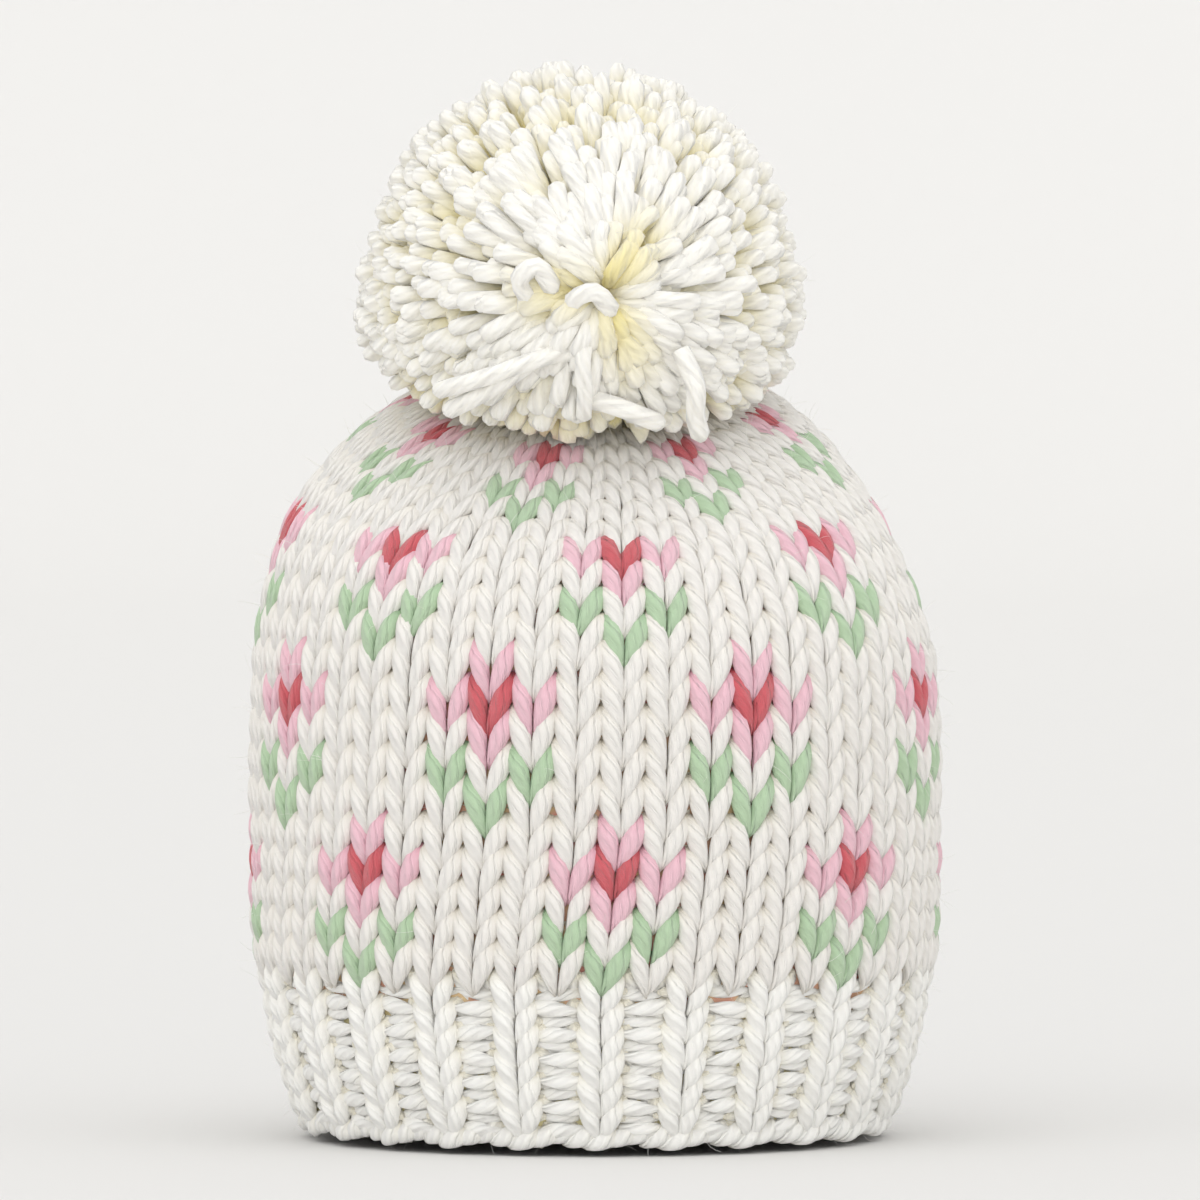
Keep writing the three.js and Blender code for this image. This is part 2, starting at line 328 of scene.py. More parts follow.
def wrapYarn(tree, mesh, around, along):  # maps the yarn round and along itself, and shades it smooth
    uv = addNode(tree, "ShaderNodeCombineXYZ", inputs={0: around, 1: along})
    mapped = addNode(tree, "GeometryNodeStoreNamedAttribute", {"data_type": "FLOAT2", "domain": "CORNER"}, {
        "Geometry": mesh, "Name": "UVMap", "Value": uv})
    return addNode(tree, "GeometryNodeSetShadeSmooth", inputs={"Geometry": mapped})


# A stitch leg is a plump leaf of yarn, from its foot (0) to its top (1)
legShape = {
    "plump": [(0, 0.1), (0.12, 0.4), (0.25, 0.62), (0.4, 0.86),
              (0.58, 1), (0.75, 0.97), (0.88, 0.8), (1, 0.42)],
    "dip": [(0, 0.45), (0.12, 0.16), (0.28, 0), (0.5, 0), (0.68, 0.12), (0.85, 0.42), (1, 0.95)],
    "yarns": ["Cream", "Sage", "Rose", "Coral"],
}


def buildLegTree():  # puts a leg of yarn on every point, its ends dipping into the fabric
    tree, given, result = newTree("stitch_legs", [
        ("Leg Width", "Float", 4.5 * mm), ("Leg Length", "Float", yarnLook["legLength"]),
        ("Flatness", "Float", 0.85), ("Dip", "Float", 2.4 * mm), ("Sides", "Int", 8), ("Rings", "Int", 9),
        ("Unevenness", "Float", 0.05), ("Seed", "Int", 3),
        *[(yarn, "Material", None) for yarn in legShape["yarns"]],
    ])
    line = addNode(tree, "GeometryNodeCurvePrimitiveLine", inputs={
        "Start": (0, -0.5, 0), "End": (0, 0.5, 0)})
    length = addNode(tree, "ShaderNodeCombineXYZ", inputs={0: 1.0, 1: given["Leg Length"], 2: 1.0})
    long = addNode(tree, "GeometryNodeTransform", inputs={"Geometry": line, "Scale": length})
    rings = addNode(tree, "GeometryNodeResampleCurve", inputs={"Curve": long, "Count": given["Rings"]})
    factor = addNode(tree, "GeometryNodeSplineParameter").outputs["Factor"]
    dip = addNode(tree, "ShaderNodeFloatCurve", inputs={"Value": factor})
    drawProfile(dip, legShape["dip"])
    down = addNode(tree, "ShaderNodeVectorMath", {"operation": "SCALE"}, {
        0: (0, 0, -1), "Scale": calc(tree, "MULTIPLY", dip, given["Dip"])})
    bent = addNode(tree, "GeometryNodeSetPosition", inputs={"Geometry": rings, "Offset": down})
    plump = addNode(tree, "ShaderNodeFloatCurve", inputs={"Value": factor})
    drawProfile(plump, legShape["plump"])
    radius = calc(tree, "MULTIPLY", calc(tree, "MULTIPLY", plump, given["Leg Width"]), 0.5)
    kept = keep(tree, bent, Along=factor, Depth=dip)
    swept, around = sweepYarn(tree, kept["Geometry"], given["Sides"], radius, factor)
    flat = addNode(tree, "ShaderNodeCombineXYZ", inputs={0: 1.0, 1: 1.0, 2: given["Flatness"]})
    pressed = addNode(tree, "GeometryNodeTransform", inputs={"Geometry": swept, "Scale": flat})
    # the dip is also stored as the share of painted shade in the leg's colour
    depth = addNode(tree, "GeometryNodeStoreNamedAttribute", {"data_type": "FLOAT", "domain": "POINT"}, {
        "Geometry": pressed, "Name": "depth", "Value": kept["Depth"]})
    leg = wrapYarn(tree, depth, around, kept["Along"])
    turned = addNode(tree, "FunctionNodeAxesToRotation", {"primary_axis": "Z", "secondary_axis": "Y"}, {
        "Primary Axis": named(tree, "outward"), "Secondary Axis": named(tree, "along")})
    uneven = addNode(tree, "FunctionNodeRandomValue", {"data_type": "FLOAT"}, {
        2: calc(tree, "SUBTRACT", 1.0, given["Unevenness"]), 3: calc(tree, "ADD", 1.0, given["Unevenness"]),
        "Seed": given["Seed"]})
    scaled = addNode(tree, "ShaderNodeVectorMath", {"operation": "SCALE"}, {
        0: named(tree, "size"), "Scale": uneven.outputs[1]})
    placed = addNode(tree, "GeometryNodeInstanceOnPoints", inputs={
        "Points": given["Geometry"], "Instance": leg, "Rotation": turned, "Scale": scaled})
    made = addNode(tree, "GeometryNodeRealizeInstances", inputs={"Geometry": placed})
    yarn = named(tree, "yarn", "INT")
    for index, label in enumerate(legShape["yarns"]):
        chosen = addNode(tree, "FunctionNodeCompare", {"data_type": "INT", "operation": "EQUAL"}, {
            2: yarn, 3: index})
        made = addNode(tree, "GeometryNodeSetMaterial", inputs={
            "Geometry": made, "Selection": chosen, "Material": given[label]})
    fill(tree, result, {"Geometry": made})
    return tree


def buildStrandTree():  # sweeps a round yarn along every edge path; thick is each point's radius
    tree, given, result = newTree("yarn_strands", [
        ("Sides", "Int", 7), ("Thickness", "Float", 1.0), ("Yarn", "Material", None),
    ])
    paths = addNode(tree, "GeometryNodeMeshToCurve", inputs={"Mesh": given["Geometry"]})
    thick = calc(tree, "MULTIPLY", named(tree, "thick", "FLOAT"), given["Thickness"])
    spline = addNode(tree, "GeometryNodeSplineParameter").outputs
    kept = keep(tree, paths, Along=spline["Length"])
    swept, around = sweepYarn(tree, kept["Geometry"], given["Sides"], thick, spline["Factor"])
    strand = wrapYarn(tree, swept, around, calc(tree, "DIVIDE", kept["Along"], yarnLook["legLength"]))
    made = addNode(tree, "GeometryNodeRealizeInstances", inputs={"Geometry": strand})
    painted = addNode(tree, "GeometryNodeSetMaterial", inputs={"Geometry": made, "Material": given["Yarn"]})
    fill(tree, result, {"Geometry": painted})
    return tree


def tidySlots(mesh):  # leaves out material slots that no face uses
    used = np.zeros(len(mesh.polygons), np.int32)
    mesh.polygons.foreach_get("material_index", used)
    kept = [k for k in sorted(set(used.tolist())) if mesh.materials[k]]
    materials = [mesh.materials[k] for k in kept]
    mesh.materials.clear()
    for material in materials:
        mesh.materials.append(material)
    mesh.polygons.foreach_set("material_index", np.searchsorted(kept, used).astype(np.int32))


def grow(name, mesh, tree, values):  # runs a tree once on the mesh and keeps what it makes
    thing = addThing(name, mesh)
    modifier = thing.modifiers.new(tree.name, "NODES")
    modifier.node_group = tree
    for socket in tree.interface.items_tree:
        if socket.in_out == "INPUT" and socket.name in values:
            modifier[socket.identifier] = values[socket.name]
    graph = bpy.context.evaluated_depsgraph_get()
    grown = bpy.data.meshes.new_from_object(
        thing.evaluated_get(graph), preserve_all_data_layers=True, depsgraph=graph)
    thing.modifiers.remove(modifier)
    thing.data = grown
    grown.name = name
    tidySlots(grown)
    grown.calc_loop_triangles()
    print(name, len(grown.loop_triangles), "triangles")
    return thing


def pointMesh(name, places, edges=(), **attributes):  # points with named attributes for a tree to read
    mesh = bpy.data.meshes.new(name)
    mesh.from_pydata(np.asarray(places).tolist(), list(edges), [])
    for key, values in attributes.items():
        kind = "FLOAT_VECTOR" if values.ndim == 2 else ("INT" if values.dtype.kind == "i" else "FLOAT")
        field = "vector" if kind == "FLOAT_VECTOR" else "value"
        mesh.attributes.new(key, kind, "POINT").data.foreach_set(field, values.ravel())
    return mesh


def pathMesh(name, paths):  # paths for the strand tree, each its points, their radii and their shares of painted shade
    starts = np.cumsum([0] + [len(points) for points, _, _ in paths])
    edges = [(k, k + 1) for a, b in zip(starts[:-1], starts[1:]) for k in range(a, b - 1)]
    places, thick, depth = (np.concatenate(part) for part in zip(*paths))
    return pointMesh(name, places, edges, thick=thick, depth=depth)


legTree = buildLegTree()
strandTree = buildStrandTree()

# The knitting: rows of two-legged stitches, charted tulips in staggered tiers
knitting = {
    "tierFeet": [31.6 * mm, 62.5 * mm, 97.0 * mm, 124.4 * mm],  # heights of the tiers' first rows
    "tierRows": 5,
    "topPitch": 6.5 * mm,  # row height above the last tier's foot, and in the ribs
    "ribPitch": 5.2 * mm,
    "ribRows": 6,
    "crownRow": 9,  # the first row that belongs to the crown
    "twist": {-6: 1, 0: 1, 5: 4, 10: 5, 15: 7.5, 22: 9},  # degrees that the columns have turned at a row
    "tulip": [".G.", "G.G", ".P.", "PRP", ".P."],
    "openTulip": [".G.", "G.G", ".P.", "PRP", "..."],  # the upper tiers leave the last petal out
    "openTier": 2,
    "repeat": 6,
}
# A knit stitch: its two legs, and how unevenly a hand knits them
stitch = {
    "legFoot": 0.02,  # the legs' feet and tops beside the stitch's middle, shares of its width
    "legTop": 0.445,
    "legReach": 1.95,  # length of a leg in rows
    "legDepth": 3.9 * mm,
    "narrowing": 0.45,  # how much thinner the legs get where the crown draws in
    "flattest": 0.4,
    "rowStray": 0.06,  # shares of a row and of a column
    "columnStray": 0.02,
    "leanStray": 4,  # degrees
    "depthStray": 0.2 * mm,
    "sizes": (0.95, 1.05),
    "lengths": (0.97, 1.05),
}
# A purl bump: two short bars across the column
purl = {
    "bars": [(0.55, 0.0, 1.0), (1.05, 0.9 * mm, 0.85)],  # share of the row up, how much deeper, width
    "width": 0.8,
    "flatness": 0.8,
    "length": 1.2,  # in columns
    "sink": 1.6 * mm,
    "rowStray": 0.3 * mm,
    "columnStray": 0.1,
    "leanStray": 9,
    "lengths": (0.92, 1.08),
}
# What the leg tree is given for them
knittingLeg = {
    "Leg Width": 4.1 * mm,
    "Leg Length": yarnLook["legLength"],
    "Flatness": 0.85,
    "Dip": 2.6 * mm,
    "Sides": 8,
    "Rings": 9,
    "Unevenness": 0.03,
    "Seed": 5,
    "Cream": creamYarn,
    "Sage": sageYarn,
    "Rose": roseYarn,
    "Coral": coralYarn,
}
yarnOf = {".": 0, "G": 1, "P": 2, "R": 3}
dice = random.Random(12)


def stray(reach):  # a hand's small error
    return dice.uniform(-reach, reach)


def rowWalks():  # where each row's feet lie on the walk up the front
    rising = np.maximum.accumulate(hatLine["frontZ"])
    feet = [np.interp(z, rising, hatLine["walk"]) for z in knitting["tierFeet"]]
    tierRows = knitting["tierRows"]
    walks = {}
    for tier in range(len(feet) - 1):
        for k in range(tierRows):
            walks[tier * tierRows + k] = feet[tier] + (feet[tier + 1] - feet[tier]) * k / tierRows
    row = (len(feet) - 1) * tierRows
    walk = feet[-1]
    while walk + knitting["topPitch"] < wholeWalk:
        walks[row] = walk
        row += 1
        walk += knitting["topPitch"]
    for k in range(1, knitting["ribRows"] + 1):
        walks[-k] = feet[0] - k * knitting["ribPitch"]
    return walks


rowWalk = rowWalks()
lastRow = max(rowWalk)


def pitchAt(row):  # the height of a row
    return rowWalk[row + 1] - rowWalk[row] if row < lastRow else knitting["topPitch"]


def twistAt(row):  # how far the columns have turned
    table = knitting["twist"]
    return math.radians(np.interp(row, list(table), list(table.values())))


def yarnAt(row, column):  # which yarn the chart asks for
    tier, line = divmod(row, knitting["tierRows"])
    if row < 0 or tier >= len(knitting["tierFeet"]):
        return 0
    chart = knitting["tulip"] if tier < knitting["openTier"] else knitting["openTulip"]
    across = (column + 1 - knitting["repeat"] // 2 * (tier % 2)) % knitting["repeat"]
    return yarnOf[chart[line][across]] if across < len(chart[line]) else 0


class Legs:  # the points of one knitted piece, each the middle of a leg
    def __init__(self):
        self.made = []

    def add(self, walk, angle, sink, tilt, size, yarn, inward=False):
        place, outward, up, around = hatFrame(walk, angle)
        along = up * math.cos(tilt) + around * math.sin(tilt)
        self.made.append((place - outward * sink, -outward if inward else outward, along, size, yarn))

    def mesh(self, name):
        places, outward, along, size, yarn = (np.array(part) for part in zip(*self.made))
        return pointMesh(name, places, outward=outward, along=along, size=size, yarn=yarn.astype(np.int32))


stitchAngle = 2 * math.pi / hat["stitches"]


def ringRadius(walk):  # the hat's radius there
    return float(np.interp(walk, hatLine["walk"], hatLine["r"]))


def stretchAt(walk, angle):  # how much farther a row lies from the next here than at the front
    step = 1 * mm
    walk = min(walk, wholeWalk - step)
    return float(np.linalg.norm(onHat(walk + step, angle) - onHat(walk - step, angle)) / (2 * step))


def addKnitStitch(legs, row, column, sink, inward=False):
    pitch = pitchAt(row)
    middle = min(rowWalk[row] + pitch * (1 + stray(stitch["rowStray"])), wholeWalk)
    radius = ringRadius(middle)
    full = stitchAngle * radius
    share = (radius / hat["radius"]) ** stitch["narrowing"]
    height = stitch["flattest"] + (1 - stitch["flattest"]) * share
    twist = twistAt(row + 1)
    lean = math.atan2((twistAt(row + 2) - twistAt(row)) * radius, 2 * pitch)
    reach = pitch * stitch["legReach"] * stretchAt(middle, column * stitchAngle + twist)
    for side in (-1, 1):
        offset = side * full * (stitch["legFoot"] + stitch["legTop"]) / 2
        tilt = side * math.atan2(full * (stitch["legTop"] - stitch["legFoot"]), reach)
        tilt += lean + math.radians(stray(stitch["leanStray"]))
        angle = column * stitchAngle + twist + offset / radius + stray(stitch["columnStray"]) * stitchAngle
        width = share * dice.uniform(*stitch["sizes"])
        length = reach / knittingLeg["Leg Length"] * dice.uniform(*stitch["lengths"])
        size = (width, length, height * dice.uniform(*stitch["sizes"]))
        legs.add(middle, angle, sink + stitch["legDepth"] / 2 + stray(stitch["depthStray"]), tilt, size,
                 yarnAt(row, column), inward)


def addPurlBump(legs, row, column, sink, inward=False, width=purl["width"]):
    pitch = pitchAt(row)
    radius = ringRadius(rowWalk[row])
    angle = column * stitchAngle + twistAt(row + 1)
    long = stitchAngle * radius * purl["length"] / knittingLeg["Leg Length"]
    for up, deeper, thinner in purl["bars"]:
        middle = min(rowWalk[row] + pitch * up, wholeWalk) + stray(purl["rowStray"])
        tilt = dice.choice((-90, 90)) + stray(purl["leanStray"])
        into = sink + purl["sink"] + (-deeper if inward else deeper)
        legs.add(middle, angle + stray(purl["columnStray"]) * stitchAngle, into, math.radians(tilt),
                 (width * thinner, long * dice.uniform(*purl["lengths"]), width * purl["flatness"]),
                 yarnAt(row, column), inward)


def knitOuter(name, node, rows):  # the knit side of the body or the crown
    legs = Legs()
    for row in rows:
        for column in range(hat["stitches"]):
            addKnitStitch(legs, row, column, 0)
    piece = grow(name, legs.mesh(name), legTree, knittingLeg)
    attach(piece, "root")
    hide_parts(node)


knitOuter("knitted_body", "body_knit", range(knitting["crownRow"]))
knitOuter("knitted_crown", "crown_knit", range(knitting["crownRow"], lastRow + 1))

# The ribbed brim: knit and purl columns in turn, the other way about on the inside, and the cast-on edge
brim = {
    "innerSink": 3.2 * mm,  # depth of the inside's stitches
    "purlSink": 0.9 * mm,
    "purlWidth": 0.84,
    "castOnRise": 3.4 * mm,
    "castOnDrop": 0.9 * mm,  # the edge is lower and farther out under the knit columns
    "castOnSink": 1.2 * mm,
    "castOnSides": [(1.9 * mm, False), (4.6 * mm, True)],  # depth of the loops outside and inside
    "castOnSlant": 62,
    "castOnStray": 7,
    "castOnSize": (1.0, 0.62, 1.0),
}


def knitBrim():
    legs = Legs()
    for row in range(-knitting["ribRows"], 0):
        for column in range(hat["stitches"]):
            if column % 2 == 0:
                addKnitStitch(legs, row, column, 0)
                addPurlBump(legs, row, column, brim["innerSink"], inward=True)
            else:
                addPurlBump(legs, row, column, brim["purlSink"], width=brim["purlWidth"])
                addKnitStitch(legs, row, column, brim["innerSink"], inward=True)
    for half in range(hat["stitches"] * 2):
        ridge = (1 + math.cos(half * math.pi / 2)) / 2
        angle = half * stitchAngle / 2 + twistAt(-knitting["ribRows"])
        walk = brim["castOnRise"] - brim["castOnDrop"] * ridge
        deeper = (1 - ridge) * brim["castOnSink"]
        for sink, inward in brim["castOnSides"]:
            slant = (brim["castOnSlant"] + stray(brim["castOnStray"])) * (-1 if inward else 1)
            legs.add(walk, angle, sink + deeper, math.radians(slant), brim["castOnSize"], 0, inward)
    piece = grow("ribbed_brim", legs.mesh("ribbed_brim"), legTree, {**knittingLeg, "Cream": litRibYarn})
    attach(piece, "root")
    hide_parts("brim_rib")


knitBrim()

# The wrong side, inside the hat: purl bumps, and strands carried behind the flowers
wrongSide = {
    "bumps": [0, 0.5],  # two a stitch, shares of a row up and of a column across
    "bumpSink": 5 * mm,
    "bumpWidth": 0.9,
    "bumpNarrowing": 0.4,
    "bumpLength": 1.15,  # in columns
    "bumpFlatness": 0.7,
    "bumpStray": 9,
    "carryEvery": 3,
    "carryUp": (0.2, 0.5),
    "carrySink": 6 * mm,
    "carrySize": (0.5, 3.1, 0.6),  # its length in columns
    "carryStray": 8,
    "leg": {"Sides": 5, "Rings": 5, "Dip": 1.6 * mm},
}


def knitWrongSide():
    legs = Legs()
    every = wrongSide["carryEvery"]
    carryWidth, carryLength, carryFlatness = wrongSide["carrySize"]
    for row in range(lastRow + 1):
        pitch = pitchAt(row)
        walk = min(rowWalk[row] + pitch, wholeWalk - 1 * mm)
        full = stitchAngle * ringRadius(walk)
        share = full / (stitchAngle * hat["radius"])
        bumpSize = (wrongSide["bumpWidth"] * share ** wrongSide["bumpNarrowing"],
                    full * wrongSide["bumpLength"] / knittingLeg["Leg Length"], wrongSide["bumpFlatness"])
        carrySize = (carryWidth, full * carryLength / knittingLeg["Leg Length"], carryFlatness)
        rowYarns = {yarnAt(row, column) for column in range(hat["stitches"])} - {0}
        for column in range(hat["stitches"]):
            angle = column * stitchAngle + twistAt(row + 1)
            for part in wrongSide["bumps"]:
                up = min(walk + pitch * part, wholeWalk)
                slant = math.radians(90 + stray(wrongSide["bumpStray"]))
                legs.add(up, angle + part * stitchAngle, wrongSide["bumpSink"], slant, bumpSize,
                         yarnAt(row, column), True)
            if rowYarns and column % every == row % every:
                up = walk + pitch * dice.uniform(*wrongSide["carryUp"])
                slant = math.radians(90 + stray(wrongSide["carryStray"]))
                legs.add(up, angle, wrongSide["carrySink"], slant, carrySize, min(rowYarns), True)
    piece = grow("purl_side", legs.mesh("purl_side"), legTree, {**knittingLeg, **wrongSide["leg"]})
    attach(piece, "root")
    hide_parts("body_knit", "crown_knit")


knitWrongSide()

# Hidden loops in the middle of the wall, coloured with painted shade, which show as warm specks between the
# stitches
backing = {
    "sink": 3.6 * mm,
    "thick": 0.9 * mm,
    "ribShift": 0.5 * mm,  # deeper under the purl columns of the brim
    "ribFade": 4 * mm,
    "foot": 2.5 * mm,
    "rings": 56,
    "turns": 144,
    # painted shade colours seen between the stitches: honey in the body, blush specks, and cream yellow in
    # the ribs
    "warm": "#E3C79C",
    "blush": "#E29E92",
    "ribbed": "#F1E7B4",
    "speckNoise": {"Scale": 140, "Detail": 2},  # specks of about 7 mm, a stitch wide
    "speckRange": (0.45, 0.6),
    "tintRange": (-4 * mm, 2 * mm),  # about the top of the brim
    "bump": 0.5 * mm,
    "roughness": 0.95,
}


def loopsMaterial():
    # The same acrylic yarn seen deep between the stitches, coloured as painted shade: honey, with blush
    # specks that are partly the carried coloured strands' own colour and partly painted shade tinted by light
    # through them, and a cream yellow painted shade in the ribs, with nothing glossy about it
    material, tree, shader = newMaterial("shaded_acrylic_loops")
    place = addNode(tree, "ShaderNodeTexCoord").outputs["Object"]
    specks = addNode(tree, "ShaderNodeTexNoise", inputs={
        "Vector": place, **backing["speckNoise"]}).outputs["Fac"]
    low, high = backing["speckRange"]
    steps = addNode(tree, "ShaderNodeMapRange", inputs={"Value": specks, 1: low, 2: high})
    colour = blend(tree, steps, linear(backing["warm"]), linear(backing["blush"]))
    height = addNode(tree, "ShaderNodeSeparateXYZ", inputs={0: place}).outputs[2]
    below, above = backing["tintRange"]
    inBody = addNode(tree, "ShaderNodeMapRange", inputs={
        "Value": height, 1: hat["brimHeight"] + below, 2: hat["brimHeight"] + above})
    bump = addNode(tree, "ShaderNodeBump", inputs={"Distance": backing["bump"], "Height": specks})
    fill(tree, shader, {"Base Color": blend(tree, inBody, linear(backing["ribbed"]), colour),
                        "Normal": bump, "Roughness": backing["roughness"]})
    return material


def makeBacking():
    walks = np.linspace(backing["foot"], wholeWalk, backing["rings"])
    angles = np.arange(backing["turns"]) * 2 * math.pi / backing["turns"]
    rows = np.array(sorted(rowWalk))
    row = np.interp(walks, [rowWalk[k] for k in rows], rows)
    twist = np.array([twistAt(k) for k in row])
    place, outward = hatFrame(walks[:, None], angles[None, :])[:2]
    brimEnd = hatLine["walk"][hat["brimSteps"] - 1]
    ribbed = np.clip((brimEnd - walks) / backing["ribFade"], 0, 1)[:, None]
    column = hat["stitches"] / 2 * (angles[None, :] - twist[:, None])
    rib = ribbed * backing["ribShift"] * (1 - np.cos(column)) / 2
    sink = (backing["sink"] + rib)[..., None]
    outer = (place - outward * sink).reshape(-1, 3)
    inner = (place - outward * (sink + backing["thick"])).reshape(-1, 3)
    verts = np.vstack([outer, inner, outer[-backing["turns"]:].mean(0), inner[-backing["turns"]:].mean(0)])
    n, total = backing["turns"], len(outer)
    faces = []
    for k in range(backing["rings"] - 1):
        for t in range(n):
            a, b = k * n + t, k * n + (t + 1) % n
            faces.append((a, b, b + n, a + n))
            faces.append((total + a, total + a + n, total + b + n, total + b))
    top = (backing["rings"] - 1) * n
    for t in range(n):
        b = (t + 1) % n
        faces.append((b, t, total + t, total + b))
        faces.append((top + t, top + b, 2 * total))
        faces.append((total + top + b, total + top + t, 2 * total + 1))
    mesh = bpy.data.meshes.new("inner_loops")
    mesh.from_pydata(verts.tolist(), [], faces)
    mesh.shade_smooth()
    mesh.materials.append(loopsMaterial())
    piece = addThing("inner_loops", mesh)
    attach(piece, "root")
    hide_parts("brim_rib", "body_knit", "crown_knit")


makeBacking()
print("knitting done")

# The pompom: a wound and cut ball of the same yarn, parted at its front and back
pompom = {
    "width": 92 * mm,
    "rise": 47.5 * mm,  # above and below its middle
    "drop": 26 * mm,
    "shift": -3 * mm,  # its middle, from the crown's
    "lift": 17 * mm,
    "fullness": 3,  # how square the pressed underside is; 2 is round
    "strands": 2050,
    "strandRadius": 1.85 * mm,
    "stations": [0, 0.25, 0.45, 0.62, 0.77, 0.9, 0.972, 1],  # shares of a strand, from the tie to its end
    "profile": [0.5, 0.85, 0.95, 1, 1, 1.08, 1.04, 0.5],  # thickness there, round at the cut end
    "uneven": 5 * mm,  # longest strand end to shortest
    "radii": (0.86, 1.12),
    "radiusStray": 0.03,
    "frontStray": 0.02,
    "frontLimit": 0.97,
    "turnStray": 0.06,
    # where a strand starts and bends: shares of its end's distance forward and across
    "root": (0.86, 0.07),
    "bend": (1.16, 0.5),
    "stray": 9.2 * mm / 6,  # how far it strays there
    "clear": (0.5, 2.6),  # room to the crown, in radii of a strand
    "domeNod": 0.3,  # the crown around it nods less, by this share
    "core": 0.8,  # the hidden middle's share of the form
    "coreClear": 0.5 * mm,
    "litFrom": 0.94,  # the yarn is white above this share of the form and takes a painted yellow shade below it
    "litOver": 0.2,
    "partingReach": 15 * mm,  # the painted shade falls too this close to the parting,
    "gaps": 3,  # and most in three gaps around it
    "gapTurn": math.radians(-75),
    "gapReach": 0.5,
    "gapDepth": 0.35,
    "turned": math.radians(6),  # the parting at the front lies a little to the right
    "looseSteps": 10,
    "cutRound": 0.6,  # a loose strand's round end, in radii
    # single strands that lie loose on the front: points as x, y, z in mm, and the radius in mm
    "loose": [
        ([(-6, -47, 163), (-15, -50, 156), (-23, -48, 151), (-29, -45, 148)], 1.9),
        ([(-4, -48, 160), (-12, -51, 158), (-22, -51, 154.5), (-31, -46, 152)], 1.9),
        ([(-1, -50, 165), (-2.4, -52, 158), (-2, -50, 152), (-2.2, -46, 147)], 1.8),
        ([(0, -46, 150), (5, -47.5, 148.5), (12.5, -44, 145.5)], 2.1),
        ([(17, -48, 160), (20, -49, 153), (20, -46, 147), (21, -43, 143)], 2.0),
        ([(-13, -49, 170), (-15, -53, 174), (-11.5, -54.5, 176.5), (-8.5, -52, 172.5)], 2.0),
        ([(-3, -50, 167), (-4, -54, 170), (0, -55.5, 171.5), (3, -52, 168)], 2.1),
    ],
}


def tipped(points):  # from the crown's own upright frame to the nodded one
    c, s = math.cos(hat["crownNod"]), math.sin(hat["crownNod"])
    x, y, z = np.moveaxis(np.asarray(points, float), -1, 0)
    return np.stack([x, y * c - z * s, y * s + z * c + hat["crownHeight"] - hat["crownDimple"]], -1)


def untipped(points):  # and back
    c, s = math.cos(hat["crownNod"]), math.sin(hat["crownNod"])
    x, y, z = np.moveaxis(np.asarray(points, float), -1, 0)
    z = z - (hat["crownHeight"] - hat["crownDimple"])
    return np.stack([x, y * c + z * s, -y * s + z * c], -1)


def pompomForm(aim):  # the form in direction aim, from its middle: a dome above a fuller, pressed half
    c, s = math.cos(hat["crownNod"]), math.sin(hat["crownNod"])
    x, y, z = np.moveaxis(aim, -1, 0)
    y, z = y * c + z * s, -y * s + z * c
    low = z < 0
    power = pompom["fullness"]
    full = np.where(low, np.hypot(x, y)**power + np.abs(z)**power, 1) ** (-1 / power)
    tall = np.where(low, pompom["drop"], pompom["rise"])
    x, y, z = x * pompom["width"] / 2 * full, y * pompom["width"] / 2 * full, z * tall * full
    return np.stack([x, y * c - z * s, y * s + z * c], -1)


pompomMiddle = tipped([pompom["shift"], 0, hat["crownDimple"] + pompom["lift"]])
domeSteps = hat["bodySteps"] // 2  # the upper half of the body's line
domeSag = math.cos(hat["crownNod"] * pompom["domeNod"])
domeR = hatLine["r"][::-1][:domeSteps]
domeZ = (hatLine["z"][::-1][:domeSteps] - hat["crownHeight"] + hat["crownDimple"]) / domeSag


def seatOnCrown(points, clear):  # lifts what would sink into the crown onto its surface
    upright = untipped(points)
    floor = np.interp(np.hypot(upright[..., 0], upright[..., 1]), domeR, domeZ) + clear
    upright[..., 2] = np.maximum(upright[..., 2], floor)
    return tipped(upright)


def pompomShade(course):  # how much painted yellow shade shows: inside the ball and near the parting
    reach = np.linalg.norm(course, axis=-1) / np.linalg.norm(pompomForm(unit(course)), axis=-1)
    gaps = np.sin(pompom["gaps"] * np.arctan2(course[..., 2], course[..., 0]) + pompom["gapTurn"])
    shadeReach = pompom["partingReach"] * (1 + pompom["gapReach"] * gaps)
    parting = 1 - np.hypot(course[..., 0], course[..., 2]) / shadeReach
    parting *= 1 - pompom["gapDepth"] + pompom["gapDepth"] * gaps
    inside = np.clip((pompom["litFrom"] - reach) / pompom["litOver"], 0, 1)
    return np.minimum(inside + np.maximum(parting, 0), 1)


